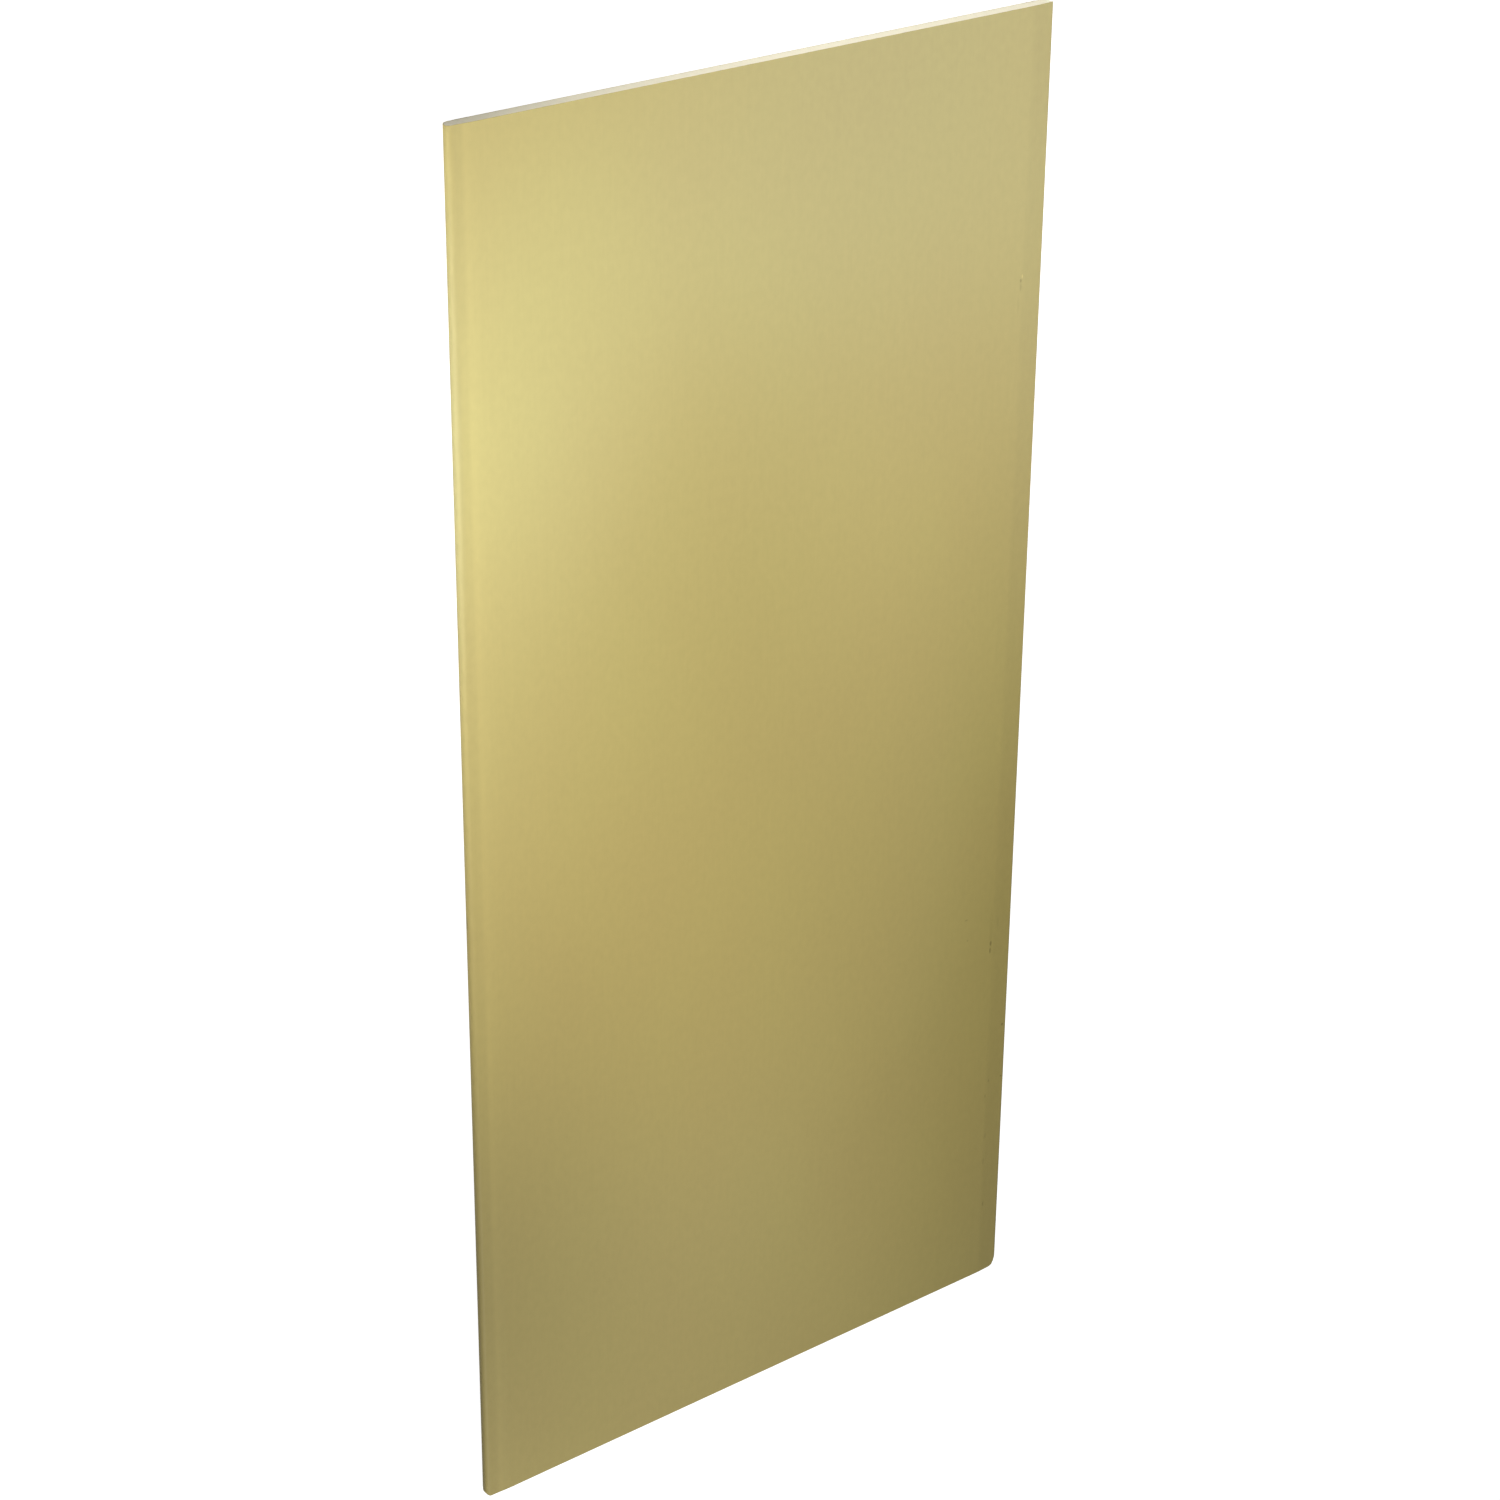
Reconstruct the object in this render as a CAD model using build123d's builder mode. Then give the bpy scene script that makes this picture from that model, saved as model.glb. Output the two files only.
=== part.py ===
import os

from build123d import *

# A moisture-resistant drywall sheet in a small format, lying flat with its good face up.
# Millimetres. The origin is the middle of the underside, +Y runs along the sheet and +Z is up.

# The whole sheet
sheet_width = 600.0
sheet_length = 1250.0
sheet_thickness = 12.5

# The two papers that the gypsum was cast between
face_paper_thickness = 0.4
back_paper_thickness = 0.35

# Both long edges are pressed thinner, so that a filled joint lies flush with the face
taper_width = 24.0  # from the long edge to the line where the face starts to fall
taper_depth = 0.8  # how far it has fallen at the edge
edge_land = 8.0  # level strip between the foot of the slope and the edge

# The edge itself is rounded: its two turns share out nearly the whole of its height
shoulder_share = 0.33  # the face paper's tighter turn from the face into the edge
heel_share = 0.62  # its wider turn from the edge under the back

# The face paper is folded round both long edges, and the back paper is glued over its laps
face_lap = 25.0  # folded under the back, measured from the long edge
bare_lap = 12.0  # the strip of that lap which the back paper leaves bare

# Corners as they are worn, seen from above: two sharp at the far end, two knocked at the near end
far_corner_radius = 1.5
near_left_corner_radius = 5.0
near_right_corner_radius = 11.0
trim_margin = 10.0  # how far the corner trimming reaches past the sheet

half_width = sheet_width / 2
half_length = sheet_length / 2
land_height = sheet_thickness - taper_depth
slope_foot = half_width - edge_land
slope_top = half_width - taper_width
edge_height = land_height - back_paper_thickness
shoulder_radius = shoulder_share * edge_height
heel_radius = heel_share * edge_height

# Section of all that the face paper wraps, with the paper: tapered face, turned edges, flat back
with BuildSketch(Plane.XZ) as wrapped_section:
    with BuildLine():
        Polyline(
            (-half_width, back_paper_thickness),
            (half_width, back_paper_thickness),
            (half_width, land_height),
            (slope_foot, land_height),
            (slope_top, sheet_thickness),
            (-slope_top, sheet_thickness),
            (-slope_foot, land_height),
            (-half_width, land_height),
            close=True,
        )
    make_face()
    fillet(wrapped_section.vertices().group_by(Axis.Y)[0], heel_radius)
    for side in (-half_width, half_width):
        fillet(wrapped_section.vertices().sort_by_distance((side, land_height))[0], shoulder_radius)

# Section of the core: inside the folded paper, and down to the back paper between the two laps
with BuildSketch(Plane.XZ) as core_section:
    add(wrapped_section.sketch_local)
    offset(amount=-face_paper_thickness, kind=Kind.INTERSECTION, mode=Mode.REPLACE)
    with Locations((0, back_paper_thickness)):
        Rectangle(
            sheet_width - 2 * face_lap,
            face_paper_thickness,
            align=(Align.CENTER, Align.MIN),
        )

# Section of the face paper: over the face, round both long edges and under the back as laps
with BuildSketch(Plane.XZ) as face_paper_section:
    add(wrapped_section.sketch_local)
    add(core_section.sketch_local, mode=Mode.SUBTRACT)

# The sheet's outline from above, with each corner rounded as far as it is worn
worn_corners = {
    (-half_width, half_length): far_corner_radius,
    (half_width, half_length): far_corner_radius,
    (-half_width, -half_length): near_left_corner_radius,
    (half_width, -half_length): near_right_corner_radius,
}
with BuildSketch() as worn_outline:
    Rectangle(sheet_width, sheet_length)
    for corner, radius in worn_corners.items():
        fillet(worn_outline.vertices().sort_by_distance(corner)[0], radius)

# What the wear has taken off: all that lies outside that outline
with BuildSketch() as worn_away:
    Rectangle(sheet_width + 2 * trim_margin, sheet_length + 2 * trim_margin)
    add(worn_outline.sketch, mode=Mode.SUBTRACT)

# Face paper
with BuildPart() as face_paper:
    extrude(face_paper_section.sketch, amount=half_length, both=True)
    extrude(worn_away.sketch, amount=sheet_thickness, mode=Mode.SUBTRACT)

# Gypsum core, which fills the fold of the face paper
with BuildPart() as gypsum_core:
    extrude(core_section.sketch, amount=half_length, both=True)
    extrude(worn_away.sketch, amount=sheet_thickness, mode=Mode.SUBTRACT)

# Back paper, a flat strip under the core and the inner part of both laps
with BuildPart() as back_paper:
    with BuildSketch():
        Rectangle(sheet_width - 2 * bare_lap, sheet_length)
    extrude(amount=back_paper_thickness)
    extrude(worn_away.sketch, amount=sheet_thickness, mode=Mode.SUBTRACT)

pieces = {"face_paper": face_paper, "gypsum_core": gypsum_core, "back_paper": back_paper}

os.makedirs("parts", exist_ok=True)
for name, piece in pieces.items():
    piece.part.label = name
    export_step(piece.part, f"parts/{name}.step")
    print(name, round(piece.part.volume), "mm3", piece.part.bounding_box().size)
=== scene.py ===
# %% [markdown]
# # A drywall sheet, lying with its good face up
#
# Drywall is gypsum cast between two papers on a moving belt. This small-format sheet is the
# moisture-resistant kind, whose face paper is dyed yellow-green and sized so that it sheds water.
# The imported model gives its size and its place. This lesson dresses it in three pieces, one for each
# thing the real sheet is made of: the face paper, the gypsum core and the back paper.

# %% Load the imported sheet
import math

import bmesh
import bpy
from mathutils import Matrix, Vector, noise


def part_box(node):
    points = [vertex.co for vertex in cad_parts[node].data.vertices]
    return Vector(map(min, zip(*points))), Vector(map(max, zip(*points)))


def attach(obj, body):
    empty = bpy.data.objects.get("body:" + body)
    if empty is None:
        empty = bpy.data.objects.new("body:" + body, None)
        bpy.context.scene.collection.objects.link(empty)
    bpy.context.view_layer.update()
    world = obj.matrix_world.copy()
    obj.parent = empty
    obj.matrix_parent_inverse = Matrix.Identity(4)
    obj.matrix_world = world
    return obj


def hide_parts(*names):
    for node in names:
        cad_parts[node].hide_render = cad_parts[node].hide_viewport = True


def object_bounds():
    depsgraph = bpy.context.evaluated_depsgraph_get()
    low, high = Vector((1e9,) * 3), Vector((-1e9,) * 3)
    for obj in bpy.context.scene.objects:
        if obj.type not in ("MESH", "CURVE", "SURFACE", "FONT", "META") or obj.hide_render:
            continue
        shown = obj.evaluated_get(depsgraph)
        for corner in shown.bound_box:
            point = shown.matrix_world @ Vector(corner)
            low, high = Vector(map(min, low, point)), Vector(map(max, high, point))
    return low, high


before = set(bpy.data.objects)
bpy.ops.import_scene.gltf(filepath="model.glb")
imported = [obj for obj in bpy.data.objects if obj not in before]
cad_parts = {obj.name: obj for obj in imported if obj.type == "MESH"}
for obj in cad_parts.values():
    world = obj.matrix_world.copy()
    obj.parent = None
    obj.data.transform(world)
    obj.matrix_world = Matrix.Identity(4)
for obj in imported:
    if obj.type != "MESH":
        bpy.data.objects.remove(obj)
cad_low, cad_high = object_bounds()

print("packed sheet, metres:", [round(side, 4) for side in cad_high - cad_low])

# %% [markdown]
# ## Sizes
#
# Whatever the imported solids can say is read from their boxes, so the pieces fit them exactly. The
# few sizes inside a box, such as the pressed taper and the two turns of the rounded long edges, are
# repeated here, because a box doesn't show them.

# %% Read and repeat the sizes
MM = 0.001

half_width, half_length, face_height = cad_high
back_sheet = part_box("back_paper")[1].z
back_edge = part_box("back_paper")[1].x
face_sheet = face_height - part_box("gypsum_core")[1].z

slope_top = half_width - 24 * MM
slope_foot = half_width - 8 * MM
land_height = face_height - 0.8 * MM
edge_height = land_height - back_sheet
shoulder_radius = 0.33 * edge_height
heel_radius = 0.62 * edge_height
lap_end = half_width - 25 * MM

print("paper on the face", round(face_sheet / MM, 2), "mm, on the back", round(back_sheet / MM, 2), "mm")

# %% [markdown]
# ## Camera
#
# The sheet lies on the floor, so the camera stands beyond its far left corner and looks down on it.
# A long lens from three metres away keeps the perspective gentle. The picture's upright is the
# sheet's own length, with half a degree of roll, so the camera's axes are built from the direction
# of sight and the sheet's long axis, which a Track To constraint couldn't do here.

# %% Place the camera
camera_place = Vector((-1.7115, 1.3953, 2.1703))
camera_aim = Vector((-0.0127, 0.0295, 0.0125))
camera_roll = math.radians(0.583)
sheet_axis = Vector((0, 1, 0))

sight = (camera_aim - camera_place).normalized()
picture_right = sight.cross(sheet_axis).normalized()
picture_up = picture_right.cross(sight)
upright = Matrix((picture_right, picture_up, -sight)).transposed()
turn = upright @ Matrix.Rotation(camera_roll, 3, "Z")

camera_data = bpy.data.cameras.new("camera")
camera_data.sensor_width = 36
camera_data.lens = 86.65
camera = bpy.data.objects.new("camera", camera_data)
camera.matrix_world = Matrix.Translation(camera_place) @ turn.to_4x4()
bpy.context.scene.collection.objects.link(camera)
bpy.context.scene.camera = camera
bpy.context.scene.view_settings.view_transform = "Standard"

print("camera", round((camera_aim - camera_place).length, 2), "m from the sheet")

# %% [markdown]
# ## Helpers for materials
#
# Colours are easiest to compare with the real thing as the hex values of a paint program, but
# shaders count in linear light, so one function turns the one into the other. A second one adds a
# shader node: it sets the node's own properties, and puts a value or a link on each input. The last
# three start a material, measure how far a point lies from a spot, and stack the patterns of a finish,
# each given by the size of its spots in millimetres, into one tone that lies around 1.

# %% Colour, node and pattern helpers
def linear(hex_colour):
    """Turn a hex colour such as #B6A76A into the linear RGBA of a shader."""
    parts = [int(hex_colour[place:place + 2], 16) / 255 for place in (1, 3, 5)]
    return [p / 12.92 if p <= 0.04045 else ((p + 0.055) / 1.055) ** 2.4 for p in parts] + [1]


def add_node(tree, kind, inputs=None, **settings):
    """Add one shader node; an input is given a plain value, or a socket to link from."""
    node = tree.nodes.new("ShaderNode" + kind)
    for name, value in settings.items():
        setattr(node, name, value)
    for socket, value in (inputs or {}).items():
        if isinstance(value, bpy.types.NodeSocket):
            tree.links.new(value, node.inputs[socket])
        else:
            node.inputs[socket].default_value = value
    return node


def new_material(name):
    """Give an empty node material, its node tree and its output."""
    material = bpy.data.materials.new(name)
    material.use_nodes = True
    tree = material.node_tree
    tree.nodes.clear()
    return material, tree, add_node(tree, "OutputMaterial")


def measure_from(tree, place, spot_mm, size_mm):
    """Give the distance from a spot on the sheet, counted in half the patch's width and length."""
    scale = [1 / (size * MM) for size in size_mm]
    shift = [-spot / size for spot, size in zip(spot_mm, size_mm)]
    spread = add_node(tree, "Mapping", {"Vector": place, "Location": shift, "Scale": scale})
    return add_node(tree, "VectorMath", {0: spread.outputs[0]}, operation="LENGTH").outputs["Value"]


def layer_patterns(tree, place, patterns):
    """Stack a finish's noises into one tone around 1; give the tone, and each noise by its name."""
    tone = 1 - sum(look["tone"] for look in patterns.values()) / 2
    noises = {}
    for name, look in patterns.items():
        scale = [1 / (size * MM) for size in look["size_mm"]]
        spread = add_node(tree, "Mapping", {"Vector": place, "Scale": scale})
        grain = add_node(
            tree, "TexNoise", {"Vector": spread.outputs[0], "Scale": 1, "Detail": look["detail"]},
        )
        noises[name] = grain.outputs["Fac"]
        layer = {0: noises[name], 1: look["tone"], 2: tone}
        tone = add_node(tree, "Math", layer, operation="MULTIPLY_ADD").outputs[0]
    return tone, noises


print("middle grey in linear light:", round(linear("#808080")[0], 3))

# %% [markdown]
# ## Light
#
# Seven soft lamps stand round the sheet, as in a product studio. The key stands at its left, a second
# lamp hangs high over it, and a small low one makes a pool of light on its near half. A low strip on
# the left lights the rounded left edge, one beyond the far end lights the cut gypsum, and one beyond
# the near end keeps it from going dark. The last stands across the sheet from the camera, where the
# smooth paper throws a little of it back as a pale sheen. Most are turned past the sheet, so that the
# weak rim of their beam falls on it and the light fades slowly. The world adds a little everywhere.

# %% Hang the lamps
lamps = {
    "key": {"place": (-0.552, 0.118, 0.406), "aim": (1.80, 0.775, 0), "sides": (0.6, 0.6), "watts": 2.73},
    "high": {"place": (0.265, 0.287, 0.925), "aim": (-1.324, 1.818, 0), "sides": (0.5, 0.5), "watts": 6.43},
    "pool": {"place": (-0.047, -0.377, 0.408), "aim": (0.60, -0.31, 0), "sides": (0.4, 0.4), "watts": 0.627},
    "left": {"place": (-0.925, 0.536, 0.229), "aim": (-0.656, 0.903, 0), "sides": (1.0, 0.2), "watts": 5.23},
    "far": {"place": (-0.39, 1.482, 0.28), "aim": (1.80, 1.57, 0), "sides": (0.5, 0.5), "watts": 20.5},
    "near": {"place": (-0.548, -1.379, 1.28), "aim": (-1.03, -2.0, 0), "sides": (0.5, 0.5), "watts": 37},
    "sheen": {"place": (1.556, -0.026, 1.2), "aim": (1.695, 2.0, 0), "sides": (0.8, 0.8), "watts": 35.3},
}
world_fill = 0.05

for name, lamp in lamps.items():
    light = bpy.data.lights.new(name, "AREA")
    light.shape = "RECTANGLE"
    light.size, light.size_y = lamp["sides"]
    light.energy = lamp["watts"]
    holder = bpy.data.objects.new(name, light)
    holder.location = lamp["place"]
    down = Vector(lamp["aim"]) - Vector(lamp["place"])
    holder.rotation_euler = down.to_track_quat("-Z", "Y").to_euler()
    holder.visible_camera = False
    bpy.context.scene.collection.objects.link(holder)

world = bpy.data.worlds.new("studio")
world.use_nodes = True
world.node_tree.nodes.clear()
sky = add_node(world.node_tree, "Background", {"Color": linear("#FFFFFF"), "Strength": world_fill})
add_node(world.node_tree, "OutputWorld", {"Surface": sky.outputs["Background"]})
bpy.context.scene.world = world

print(len(lamps), "lamps and a world of strength", world_fill)

# %% [markdown]
# ## Floor
#
# A photographer's cove: a white floor that curves up into a wall all round, so no horizon shows from
# any side. One bent line, spun about the upright axis, makes it.

# %% Spin the cove
cove_reach = 12.0
cove_bend = 3.0
cove_wall = 5.0
bend_segments = 12
spin_steps = 64
floor_gap = 0.05 * MM  # so that the floor and the sheet's underside aren't in one plane

bm = bmesh.new()
line = [bm.verts.new(point) for point in ((0, 0, 0), (cove_reach, 0, 0), (cove_reach, 0, cove_wall))]
for start, end in zip(line, line[1:]):
    bm.edges.new((start, end))
bmesh.ops.bevel(
    bm, geom=[line[1]], offset=cove_bend, affect="VERTICES",
    segments=bend_segments, profile=0.5, material=-1,
)
bmesh.ops.spin(
    bm, geom=bm.verts[:] + bm.edges[:], axis=(0, 0, 1), cent=(0, 0, 0),
    angle=math.tau, steps=spin_steps, use_merge=True,
)
bmesh.ops.remove_doubles(bm, verts=bm.verts[:], dist=MM)
bmesh.ops.recalc_face_normals(bm, faces=bm.faces[:])
bmesh.ops.translate(bm, verts=bm.verts[:], vec=(0, 0, -floor_gap))

floor_mesh = bpy.data.meshes.new("floor")
bm.to_mesh(floor_mesh)
bm.free()
floor_mesh.shade_smooth()
floor = bpy.data.objects.new("floor", floor_mesh)
bpy.context.scene.collection.objects.link(floor)

print("cove", 2 * cove_reach, "m across,", len(floor_mesh.polygons), "faces")

# %% [markdown]
# The cove's paint is matt and bounces light. To the camera, and to rays that come off or through a
# shiny surface, it also glows, so that it reads as white. It takes the sheet's shadow like any floor,
# but so many soft lamps and the glow leave hardly any of it to see, as on a catalogue page.

# %% Paint the cove
floor_grey = "#AAAAAA"
floor_glow = 0.97  # what the camera sees of the floor besides its lit grey; together they are white

floor_white, tree, output = new_material("matt_white_floor")
path = add_node(tree, "LightPath")
seen = path.outputs["Is Camera Ray"]
for ray in ("Is Glossy Ray", "Is Transmission Ray"):
    seen = add_node(tree, "Math", {0: seen, 1: path.outputs[ray]}, operation="MAXIMUM").outputs[0]
glow = add_node(tree, "Math", {0: seen, 1: floor_glow}, operation="MULTIPLY")
lit = add_node(tree, "BsdfDiffuse", {"Color": linear(floor_grey)})
white = add_node(tree, "Emission", {"Color": linear("#FFFFFF"), "Strength": glow.outputs[0]})
both = add_node(tree, "AddShader", {0: lit.outputs[0], 1: white.outputs[0]})
tree.links.new(both.outputs[0], output.inputs["Surface"])
floor_mesh.materials.append(floor_white)

print("floor glow", floor_glow)

# %% [markdown]
# ## Worn corners
#
# The far corners are as cut, and the two near ones have been knocked: the left a little, the right
# more. All three layers give way together there, so one function rounds them all: inside a small
# square at the corner it eases every point inwards, so that the square's two outer sides land on a
# quarter circle. The mesh bends with the corner and nothing has to be cut away.

# %% Helpers that round a corner
worn_corners = {
    (-1, 1): 1.5 * MM,
    (1, 1): 1.5 * MM,
    (-1, -1): 5 * MM,
    (1, -1): 11 * MM,
}


def ease_round(first, second, radius):
    """Move a point of a corner square, measured from its inner corner, onto a quarter disc."""
    a = first / radius
    b = second / radius
    return first * math.sqrt(1 - b * b / 2), second * math.sqrt(1 - a * a / 2)


def wear_corners(bm):
    """Round the sheet's corners, seen from above, as far as each one is worn."""
    for (side, end), radius in worn_corners.items():
        for vert in bm.verts:
            across = side * vert.co.x - (half_width - radius)
            along = end * vert.co.y - (half_length - radius)
            if across > 0 and along > 0:
                across, along = ease_round(across, along, radius)
                vert.co.x = side * (half_width - radius + across)
                vert.co.y = end * (half_length - radius + along)


print("worn corners, mm:", [round(radius / MM, 1) for radius in worn_corners.values()])

# %% [markdown]
# Each piece is finished in the same way: its mesh gets smooth shading with sharp edges where it bends hard,
# its material and the body that it rides on, and the imported solid that it stands for is hidden.

# %% Helper that finishes a piece
def add_piece(bm, name, node, material, smooth_angle):
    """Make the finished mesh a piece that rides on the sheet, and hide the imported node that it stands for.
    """
    mesh = bpy.data.meshes.new(name)
    bm.to_mesh(mesh)
    open_edges = sum(not edge.is_manifold for edge in bm.edges)
    bm.free()
    mesh.shade_smooth()
    mesh.set_sharp_from_angle(angle=math.radians(smooth_angle))
    mesh.materials.append(material)
    piece = bpy.data.objects.new(name, mesh)
    bpy.context.scene.collection.objects.link(piece)
    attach(piece, "root")
    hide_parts(node)
    mesh.calc_loop_triangles()
    print(name, len(mesh.loop_triangles), "triangles,", open_edges, "open edges")
    return piece


# %% [markdown]
# ## Finish: sized face paper
#
# Moisture-resistant liner is a multi-ply paper, dyed yellow-green, sized and calendered smooth, with
# a low sheen. Its fibres lie along the sheet, so the colour has faint lengthwise streaks. The paper
# machine leaves a fine mottle, a soft cloudy unevenness, and a slow drift between greener and browner.
# Each pattern is a noise whose scale comes from a size in millimetres, and all of them only nudge the
# colour of the dye.

# %% Face paper patterns
# Smooth paper: a low, broad sheen, and a colour that is even at first sight.
# Real fibres are hundredths of a millimetre wide; the streaks and the tooth are drawn coarser to show.
face_patterns = {
    "streaks": {"size_mm": (1.6, 90, 1.6), "detail": 2, "tone": 0.035},
    "mottle": {"size_mm": (6, 9, 6), "detail": 1, "tone": 0.08},
    "clouds": {"size_mm": (22, 40, 22), "detail": 2, "tone": 0.015},
    "drift": {"size_mm": (160, 240, 160), "detail": 2, "tone": 0.03},
    "tooth": {"size_mm": (0.9, 3.0, 0.9), "detail": 2, "tone": 0.01},
}

face_green, tree, output = new_material("sized_green_face_paper")
place = add_node(tree, "TexCoord").outputs["Object"]
tone, face_noises = layer_patterns(tree, place, face_patterns)

print("face paper patterns:", ", ".join(face_noises))

# %% [markdown]
# Both long edges were pressed thin while the gypsum was wet. A strip along each edge is painted a shade
# darker, as painted shade: on the right it takes in the whole slope, which faces away from the light, and on
# the left only its foot. The middle of the left slope, which faces the light, is painted a little paler
# instead, as painted light.

# %% Painted shade on the edge strips and painted light on the left slope
# Painted shade: how far in from each edge the darker strip starts and ends, and how much darker it is.
shaded_edge_strips = [
    {"side": -1, "inner_mm": 14, "outer_mm": 10.5, "shade": 0.05},
    {"side": 1, "inner_mm": 25, "outer_mm": 20, "shade": 0.035},
]
# Painted light: how much paler the middle of the left slope is where it faces the light, and how far that
# reaches.
slope_light = 0.025
lit_slope_line = 16 * MM - half_width
lit_slope_reach = 4.5 * MM

across = add_node(tree, "SeparateXYZ", {0: place}).outputs["X"]
for strip in shaded_edge_strips:
    outwards = add_node(tree, "Math", {0: across, 1: strip["side"]}, operation="MULTIPLY")
    edge_shade = add_node(
        tree, "MapRange",
        {
            "Value": outwards.outputs[0], "To Max": strip["shade"],
            "From Min": half_width - strip["inner_mm"] * MM,
            "From Max": half_width - strip["outer_mm"] * MM,
        },
    )
    tone = add_node(tree, "Math", {0: tone, 1: edge_shade.outputs[0]}, operation="SUBTRACT").outputs[0]

beside = add_node(tree, "Math", {0: across, 1: lit_slope_line}, operation="SUBTRACT")
from_line = add_node(tree, "Math", {0: beside.outputs[0]}, operation="ABSOLUTE")
lit_slope = add_node(
    tree, "MapRange",
    {"Value": from_line.outputs[0], "From Min": lit_slope_reach, "From Max": 0, "To Max": slope_light},
)
tone = add_node(tree, "Math", {0: tone, 1: lit_slope.outputs[0]}, operation="ADD").outputs[0]

print("pressed strips, mm wide:", [strip["inner_mm"] for strip in shaded_edge_strips])

# %% [markdown]
# The sheet has been handled, so there are small scuffs on and beside its right brow, two near its right
# edge and one on its left edge: rubbed dark ticks, smudges, and a pale scratch. Each is an egg-shaped
# patch round a point of the sheet, with an outline that the paper's tooth makes ragged.

# %% Scuffs on the face paper
face_mm = 12  # height of the scuffs on the face
scuff_depth_mm = 20  # taller than the sheet is thick, so that height hardly counts for these
scuffs = [
    {"place_mm": (276.4, 392.2, face_mm), "size_mm": (0.9, 2.6, scuff_depth_mm), "dark": -0.31},
    {"place_mm": (274.8, 388.8, face_mm), "size_mm": (1.3, 2.2, scuff_depth_mm), "dark": 0.28},
    {"place_mm": (275.0, 383.0, face_mm), "size_mm": (1.5, 5.0, scuff_depth_mm), "dark": 0.14},
    {"place_mm": (272.9, 367.5, face_mm), "size_mm": (2.0, 12.0, scuff_depth_mm), "dark": 0.04},
    {"place_mm": (273.8, -242.5, face_mm), "size_mm": (3.0, 30.0, scuff_depth_mm), "dark": 0.06},
    {"place_mm": (282.2, -236.8, face_mm), "size_mm": (1.8, 8.0, scuff_depth_mm), "dark": 0.06},
    {"place_mm": (274.1, -256.8, face_mm), "size_mm": (1.5, 3.6, scuff_depth_mm), "dark": 0.34},
    {"place_mm": (273.6, -264.3, face_mm), "size_mm": (1.4, 3.8, scuff_depth_mm), "dark": 0.32},
    {"place_mm": (242.7, -221.9, face_mm), "size_mm": (2.6, 1.2, scuff_depth_mm), "dark": 0.17},
    {"place_mm": (245.0, -244.1, face_mm), "size_mm": (1.3, 1.4, scuff_depth_mm), "dark": 0.17},
    {"place_mm": (294.0, -351.2, face_mm), "size_mm": (1.8, 1.9, scuff_depth_mm), "dark": 0.34},
    {"place_mm": (295.2, -408.6, face_mm), "size_mm": (1.2, 1.2, scuff_depth_mm), "dark": 0.36},
    {"place_mm": (279.2, -407.9, face_mm), "size_mm": (1.1, 2.0, scuff_depth_mm), "dark": 0.20},
    {"place_mm": (275.6, -423.7, face_mm), "size_mm": (1.1, 2.4, scuff_depth_mm), "dark": 0.17},
    {"place_mm": (277.9, -468.9, face_mm), "size_mm": (1.0, 4.0, scuff_depth_mm), "dark": 0.14},
    {"place_mm": (276.9, -497.3, face_mm), "size_mm": (0.9, 5.0, scuff_depth_mm), "dark": 0.14},
    {"place_mm": (278.7, -546.9, face_mm), "size_mm": (1.3, 3.4, scuff_depth_mm), "dark": 0.17},
    {"place_mm": (-299.5, -46, 6), "size_mm": (3.0, 7.0, 2.2), "dark": 0.28},
]
ragged_share = 0.4  # how much the tooth pushes a scuff's outline in and out
scuff_rim = 1.2  # reach, with that push, at which a scuff begins to show
scuff_heart = 0.6  # reach, with that push, at which it is full

for scuff in scuffs:
    reach = measure_from(tree, place, scuff["place_mm"], scuff["size_mm"])
    ragged = add_node(
        tree, "Math", {0: face_noises["tooth"], 1: ragged_share, 2: reach}, operation="MULTIPLY_ADD",
    )
    patch = add_node(
        tree, "MapRange",
        {
            "Value": ragged.outputs[0], "To Max": scuff["dark"],
            "From Min": scuff_rim, "From Max": scuff_heart,
        },
    )
    tone = add_node(tree, "Math", {0: tone, 1: patch.outputs[0]}, operation="SUBTRACT").outputs[0]

print(len(scuffs), "scuffs")

# %% [markdown]
# A few broad patches, far too soft to have an outline, are painted light and shade. They make the paper
# paler where more light and a pale sheen fall on it and darker where less light falls, and they shift its
# hue a little. Each fades from the colour around it to its own in the middle. The last one is narrow: it is
# a painted sheen along the rounded left edge, which makes that edge a little greyer.

# %% Painted light and shade on the face paper
light_patch_depth_mm = 1000  # so deep that a patch is the same through the whole thickness
# Painted light and shade: the middle, size and colour of each patch. The last one is a painted sheen along
# the left edge.
painted_light_patches = [
    {"place_mm": (253, -178, 0), "size_mm": (185, 615, light_patch_depth_mm), "colour": "#B4A45D"},
    {"place_mm": (-1, 481, 0), "size_mm": (520, 190, light_patch_depth_mm), "colour": "#BCB173"},
    {"place_mm": (-33, 65, 0), "size_mm": (289, 541, light_patch_depth_mm), "colour": "#B3A463"},
    {"place_mm": (151, -142, 0), "size_mm": (203, 720, light_patch_depth_mm), "colour": "#BCAB69"},
    {"place_mm": (-108, -110, 0), "size_mm": (476, 372, light_patch_depth_mm), "colour": "#BCAA67"},
    {"place_mm": (144, 720, 0), "size_mm": (461, 570, light_patch_depth_mm), "colour": "#ACA16D"},
    {"place_mm": (-238, 406, 0), "size_mm": (190, 257, light_patch_depth_mm), "colour": "#BBB072"},
    {"place_mm": (-302, 370, 0), "size_mm": (10, 300, light_patch_depth_mm), "colour": "#B1A773"},
]
# The paper's own dye colour, which the patches of painted light and shade then change.
dye_and_painted_light = linear("#B6A76A")

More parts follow.
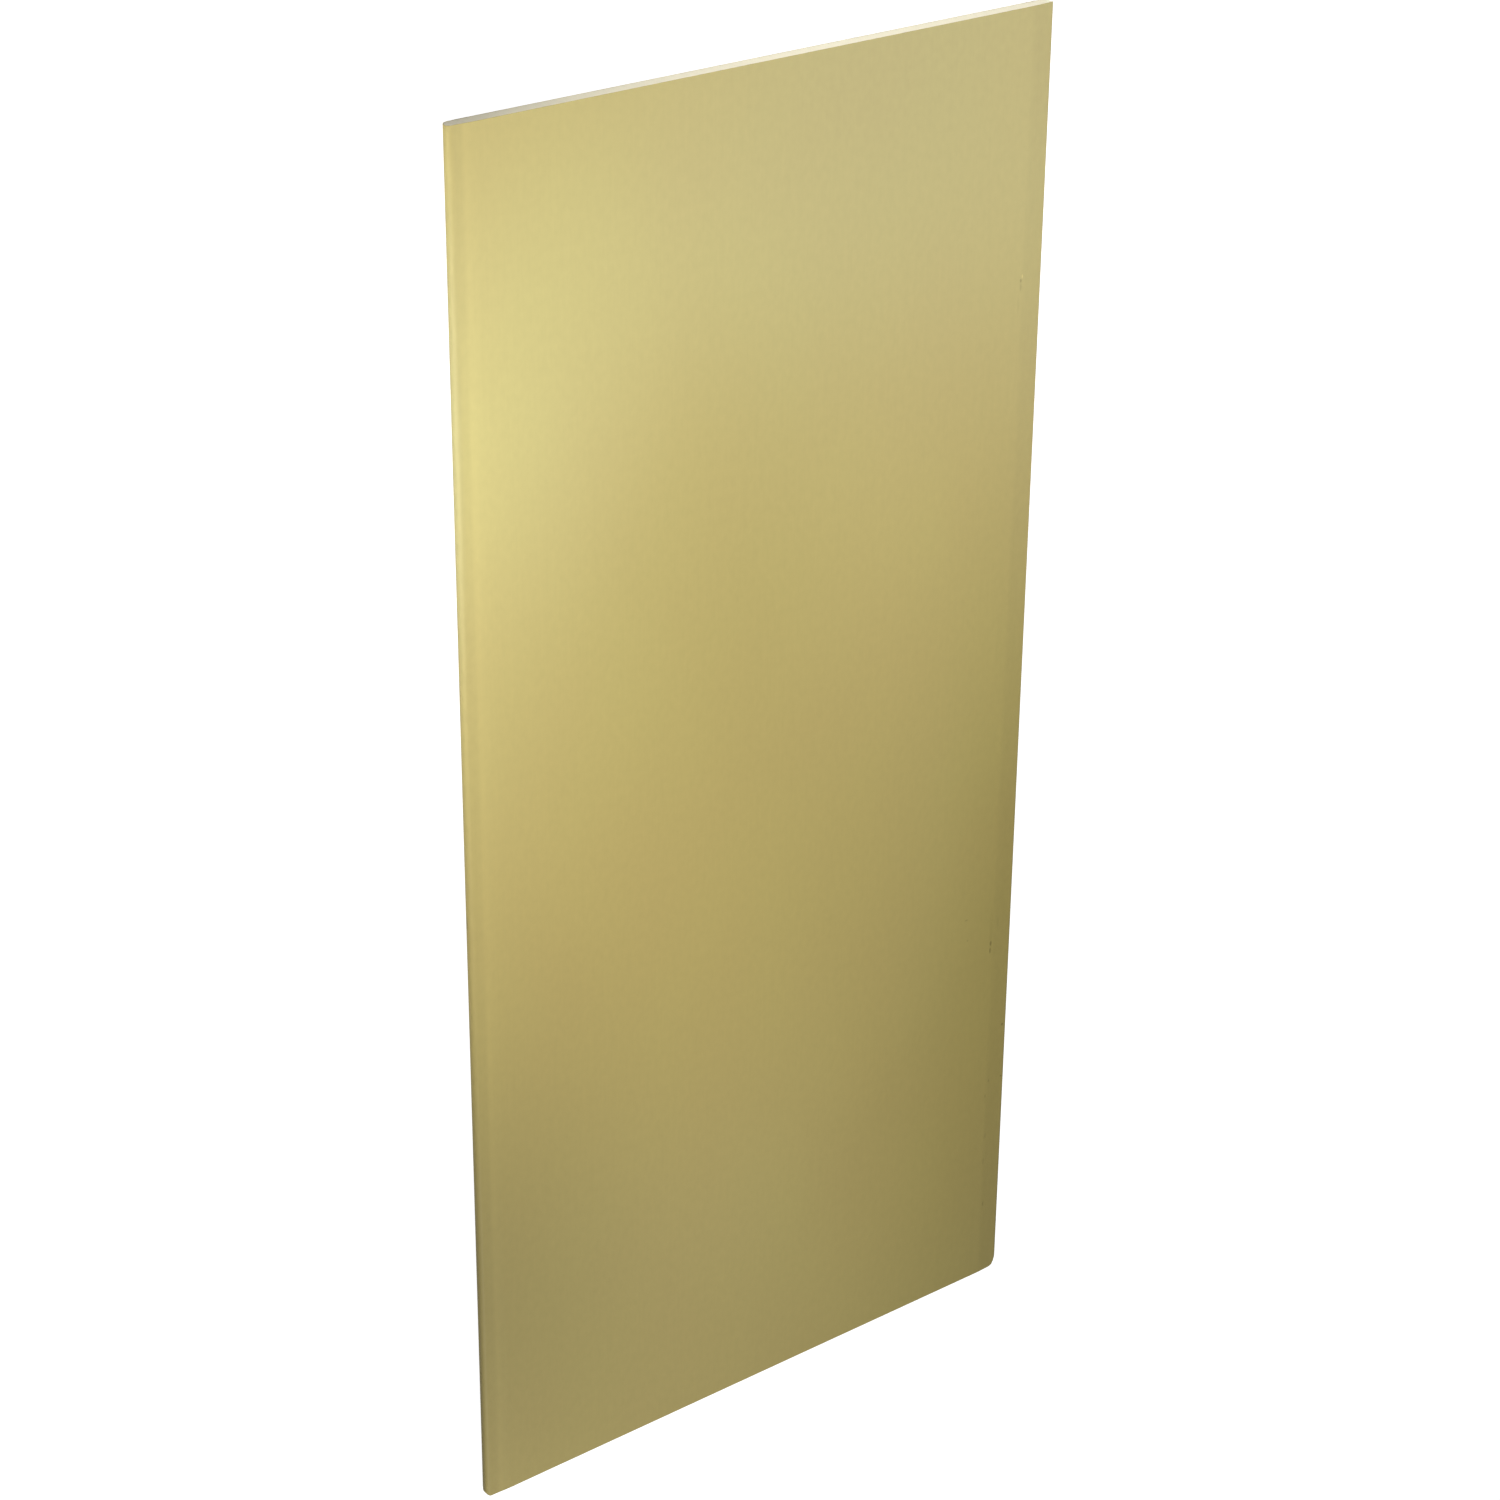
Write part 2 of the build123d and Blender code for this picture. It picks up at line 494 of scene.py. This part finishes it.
for patch in painted_light_patches:
    reach = measure_from(tree, place, patch["place_mm"], patch["size_mm"])
    fade = add_node(
        tree, "MapRange", {"Value": reach, "From Min": 1, "From Max": 0},
        interpolation_type="SMOOTHSTEP",
    )
    layer = {0: fade.outputs[0], 6: dye_and_painted_light, 7: linear(patch["colour"])}
    dye_and_painted_light = add_node(tree, "Mix", layer, data_type="RGBA").outputs[2]

print(len(painted_light_patches), "dye patches")

# %% [markdown]
# The tone and the slow drift now colour the paper, the clouds vary its gloss, and the tooth is a
# shallow relief. The paper is a little open between its fibres, so it mirrors less than a solid
# varnish would: its index is nearer to 1.33 than to 1.5.

# %% Face paper shader
hue_low = 0.494  # 0.5 leaves a hue as it is, and the drift lies around that
hue_span = 0.012
roughness_low = 0.61
roughness_span = 0.02
tooth_strength = 0.06
tooth_height = 0.1 * MM
paper_index = 1.33

# The tone carries the painted shade of the edge strips and the painted light on the left slope, and the
# colour carries the patches of painted light and shade.
hue = add_node(
    tree, "Math", {0: face_noises["drift"], 1: hue_span, 2: hue_low}, operation="MULTIPLY_ADD",
)
dyed = add_node(
    tree, "HueSaturation", {"Hue": hue.outputs[0], "Value": tone, "Color": dye_and_painted_light},
)
gloss = add_node(
    tree, "Math", {0: face_noises["clouds"], 1: roughness_span, 2: roughness_low},
    operation="MULTIPLY_ADD",
)
relief = add_node(
    tree, "Bump",
    {"Height": face_noises["tooth"], "Strength": tooth_strength, "Distance": tooth_height},
)
paper = add_node(
    tree, "BsdfPrincipled",
    {
        "Base Color": dyed.outputs[0], "Roughness": gloss.outputs[0],
        "Normal": relief.outputs[0], "IOR": paper_index,
    },
)
tree.links.new(paper.outputs[0], output.inputs["Surface"])

print("face paper material with", len(tree.nodes), "nodes")

# %% [markdown]
# ## Face paper
#
# One sheet of paper covers the face, bends down the pressed taper of each long edge, turns round
# the rounded edge and laps under the back. It could be cut from the core's outline, but folding
# it is how it is made: half of the fold is drawn as a bent line, its bends are rounded by bevelling
# the line's points, and the line is drawn out along the sheet, mirrored and given its thickness.

# %% Draw half of the fold
bm = bmesh.new()
fold = [
    (0, face_height),
    (slope_top, face_height),
    (slope_foot, land_height),
    (half_width, land_height),
    (half_width, back_sheet),
    (lap_end, back_sheet),
]
bends = [bm.verts.new((x, -half_length, z)) for x, z in fold]
for start, end in zip(bends, bends[1:]):
    bm.edges.new((start, end))
brow, foot, shoulder, heel = bends[1:-1]

brow_radius = 1.2 * MM
foot_radius = 1.8 * MM
slope_segments = 3
shoulder_segments = 10
heel_segments = 12
for bend, radius, segments in (
    (brow, brow_radius, slope_segments),
    (foot, foot_radius, slope_segments),
    (shoulder, shoulder_radius, shoulder_segments),
    (heel, heel_radius, heel_segments),
):
    bmesh.ops.bevel(
        bm, geom=[bend], offset=radius, affect="VERTICES", segments=segments, profile=0.5, material=-1,
    )

face_step = 14 * MM
for edge in bm.edges[:]:
    cuts = int(edge.calc_length() / face_step)
    if cuts:
        bmesh.ops.subdivide_edges(bm, edges=[edge], cuts=cuts)

print("half of the fold:", len(bm.edges), "edges")

# %% [markdown]
# The line is drawn out in one go and then cut across, so that the paper has points every few
# millimetres of its length to carry its worn ends and corners. Mirroring can leave the faces pointing
# inwards, so they are put right before the paper gets its thickness.

# %% Draw the paper out, mirror it and thicken it
length_cuts = 399
same_place = 0.01 * MM  # points closer together than this count as one

drawn = bmesh.ops.extrude_edge_only(bm, edges=bm.edges[:])["geom"]
far_line = [part for part in drawn if isinstance(part, bmesh.types.BMVert)]
bmesh.ops.translate(bm, verts=far_line, vec=(0, 2 * half_length, 0))
runs = [edge for edge in bm.edges if edge.calc_length() > half_length]
bmesh.ops.subdivide_edges(bm, edges=runs, cuts=length_cuts, use_grid_fill=True)

bmesh.ops.mirror(bm, geom=bm.verts[:] + bm.edges[:] + bm.faces[:], axis="X", merge_dist=same_place)
bmesh.ops.remove_doubles(bm, verts=bm.verts[:], dist=same_place)
bmesh.ops.recalc_face_normals(bm, faces=bm.faces[:])
bm.normal_update()
if max(bm.faces, key=lambda face: face.calc_center_median().z).normal.z < 0:
    bmesh.ops.reverse_faces(bm, faces=bm.faces[:])
bmesh.ops.solidify(bm, geom=bm.faces[:], thickness=face_sheet)

end_ruffle = 0.12 * MM  # how far the knife left the paper's ends short of the flat cut
ruffle_wave = 9 * MM
for vert in bm.verts:
    if half_length - abs(vert.co.y) < same_place:
        ragged = end_ruffle * abs(noise.noise(vert.co / ruffle_wave))
        vert.co.y -= math.copysign(ragged, vert.co.y)
wear_corners(bm)

face_paper = add_piece(bm, "folded_face_paper", "face_paper", face_green, smooth_angle=35)

# %% [markdown]
# ## Finish: cut gypsum
#
# The core is calcium sulphate, cast as a foam and cut to length when it has set. Dry, it is a matt
# cream white with no shine at all. The cut shows fine bubbles and the drag of the blade across
# the thickness, and it picks up a little dust.

# %% Gypsum material
# Matt and chalky: no highlight, a fine grit, and slow patches where dust has settled.
gypsum_patterns = {
    "grit": {"size_mm": (1.2, 1.2, 1.2), "detail": 4, "tone": 0.10},
    "drag": {"size_mm": (2.5, 2.5, 14), "detail": 2, "tone": 0.06},
    "dust": {"size_mm": (60, 60, 60), "detail": 2, "tone": 0.08},
}

core_cream = "#EFE8CF"
grit_strength = 0.35
grit_height = 0.25 * MM
gypsum_roughness = 0.92
gypsum_index = 1.52

gypsum_cream, tree, output = new_material("cut_cream_gypsum")
place = add_node(tree, "TexCoord").outputs["Object"]
tone, gypsum_noises = layer_patterns(tree, place, gypsum_patterns)
cast = add_node(tree, "HueSaturation", {"Value": tone, "Color": linear(core_cream)})
relief = add_node(
    tree, "Bump",
    {"Height": gypsum_noises["grit"], "Strength": grit_strength, "Distance": grit_height},
)
gypsum = add_node(
    tree, "BsdfPrincipled",
    {
        "Base Color": cast.outputs[0], "Roughness": gypsum_roughness,
        "Normal": relief.outputs[0], "IOR": gypsum_index,
    },
)
tree.links.new(gypsum.outputs[0], output.inputs["Surface"])

print("gypsum material with", len(tree.nodes), "nodes")

# %% [markdown]
# ## Gypsum core
#
# The core fills the fold and shows at both cut ends. A box would give a bare flat end, so it
# starts as a fine grid that stands at the near end, squeezed to the section that the paper leaves free.

# %% Stand up the end grid
def core_top(across):
    """Height of the core's upper side: under the face, down the slope, and level at the edge."""
    fall = (across - slope_top) / (slope_foot - slope_top)
    return face_height - face_sheet - (face_height - land_height) * min(max(fall, 0), 1)


def core_bottom(across):
    """Height of the core's underside: on the back paper, and on the laps near both edges."""
    return back_sheet + (face_sheet if across > lap_end else 0)


core_half_width = half_width - face_sheet
end_columns = 760
end_rows = 18

bm = bmesh.new()
bmesh.ops.create_grid(bm, x_segments=end_columns, y_segments=end_rows, size=1)
for vert in bm.verts:
    across = abs(vert.co.x) * core_half_width
    up = (vert.co.y + 1) / 2
    low = core_bottom(across)
    high = core_top(across)
    height = low + (high - low) * up
    for radius, top in ((shoulder_radius - face_sheet, True), (heel_radius - face_sheet, False)):
        beyond = across - (core_half_width - radius)
        rise = height - (high - radius) if top else low + radius - height
        if beyond > 0 and rise > 0:
            beyond, rise = ease_round(beyond, rise, radius)
            across = core_half_width - radius + beyond
            height = high - radius + rise if top else low + radius - rise
    vert.co = Vector((math.copysign(across, vert.co.x), -half_length, height))

print("end grid:", len(bm.faces), "faces")

# %% [markdown]
# The grid is drawn out to the far end. The points of both ends then sink in by a noise: bubbles that
# the blade opened, the drag of the blade, and a rough crumbling skin.

# %% Draw the core out and roughen both ends
end_block = 15 * MM  # short blocks at both ends take up the bending of the worn corners

front = bm.faces[:]
for reach in (end_block, 2 * (half_length - end_block), end_block):
    front = bmesh.ops.extrude_face_region(bm, geom=front)["geom"]
    moved = [part for part in front if isinstance(part, bmesh.types.BMVert)]
    bmesh.ops.translate(bm, verts=moved, vec=(0, reach, 0))
bmesh.ops.recalc_face_normals(bm, faces=bm.faces[:])

bubble_spacing = 7 * MM
bubble_share = 0.25  # radius of a bubble as a share of that spacing
bubble_depth = 0.3 * MM
drag_width = 1.6 * MM
drag_length = 10 * MM
drag_depth = 0.06 * MM
crumb_size = 3 * MM
crumb_depth = 0.10 * MM
clean_rim = 1.5 * MM  # beside the paper the cut is clean, and the roughness grows from there


def cut_depth(point):
    """How far the cut surface lies behind the flat end at one point."""
    across = abs(point.x)
    rim = min(core_top(across) - point.z, point.z - core_bottom(across), core_half_width - across)
    nearest = noise.voronoi(point / bubble_spacing)[0][0]
    bubble = math.sqrt(max(0, 1 - nearest / bubble_share))
    drag = noise.noise(Vector((point.x / drag_width, point.y, point.z / drag_length)))
    crumb = noise.noise(point / crumb_size)
    depth = bubble_depth * bubble + drag_depth * abs(drag) + crumb_depth * max(0, crumb)
    return depth * min(max(rim / clean_rim, 0), 1)


for vert in bm.verts:
    if half_length - abs(vert.co.y) < same_place:
        vert.co.y -= math.copysign(cut_depth(vert.co), vert.co.y)
wear_corners(bm)

gypsum_core = add_piece(bm, "cast_gypsum_core", "gypsum_core", gypsum_cream, smooth_angle=50)

# %% [markdown]
# ## Finish: recycled back paper
#
# The back liner is made of unbleached waste paper. It is a dull grey-brown, uneven in tone, with
# stray darker and paler fibres, and it has no size on it and so no sheen.

# %% Back paper material
# Dull and fibrous: flecks a few millimetres long, blotchy clouds, no gloss.
back_patterns = {
    "fibres": {"size_mm": (1.5, 9, 1.5), "detail": 4, "tone": 0.20},
    "clouds": {"size_mm": (11, 16, 11), "detail": 3, "tone": 0.16},
    "drift": {"size_mm": (150, 260, 150), "detail": 2, "tone": 0.12},
}

pulp_grey = "#9E9485"
fibre_strength = 0.3
fibre_height = 0.2 * MM
back_roughness = 0.85
back_index = 1.5

back_grey, tree, output = new_material("recycled_grey_back_paper")
place = add_node(tree, "TexCoord").outputs["Object"]
tone, back_noises = layer_patterns(tree, place, back_patterns)
pulp = add_node(tree, "HueSaturation", {"Value": tone, "Color": linear(pulp_grey)})
relief = add_node(
    tree, "Bump",
    {"Height": back_noises["fibres"], "Strength": fibre_strength, "Distance": fibre_height},
)
liner = add_node(
    tree, "BsdfPrincipled",
    {
        "Base Color": pulp.outputs[0], "Roughness": back_roughness,
        "Normal": relief.outputs[0], "IOR": back_index,
    },
)
tree.links.new(liner.outputs[0], output.inputs["Surface"])

print("back paper material with", len(tree.nodes), "nodes")

# %% [markdown]
# ## Back paper
#
# A flat strip, narrower than the sheet, glued over both laps of the face paper. It lies on the
# floor here, but the part may be turned over, so it has its own thickness and its own slightly
# wandering slit edges.

# %% Lay the back paper
back_columns = 48
back_rows = 320

bm = bmesh.new()
bmesh.ops.create_grid(bm, x_segments=back_columns, y_segments=back_rows, size=1)
bmesh.ops.scale(bm, verts=bm.verts[:], vec=(back_edge, half_length, 1))
bmesh.ops.translate(bm, verts=bm.verts[:], vec=(0, 0, back_sheet))
bmesh.ops.solidify(bm, geom=bm.faces[:], thickness=back_sheet)

slit_wander = 0.6 * MM
slit_wave = 90 * MM
for vert in bm.verts:
    if back_edge - abs(vert.co.x) < same_place:
        wander = slit_wander * abs(noise.noise(vert.co / slit_wave))
        vert.co.x -= math.copysign(wander, vert.co.x)
wear_corners(bm)

back_paper = add_piece(bm, "glued_back_paper", "back_paper", back_grey, smooth_angle=35)
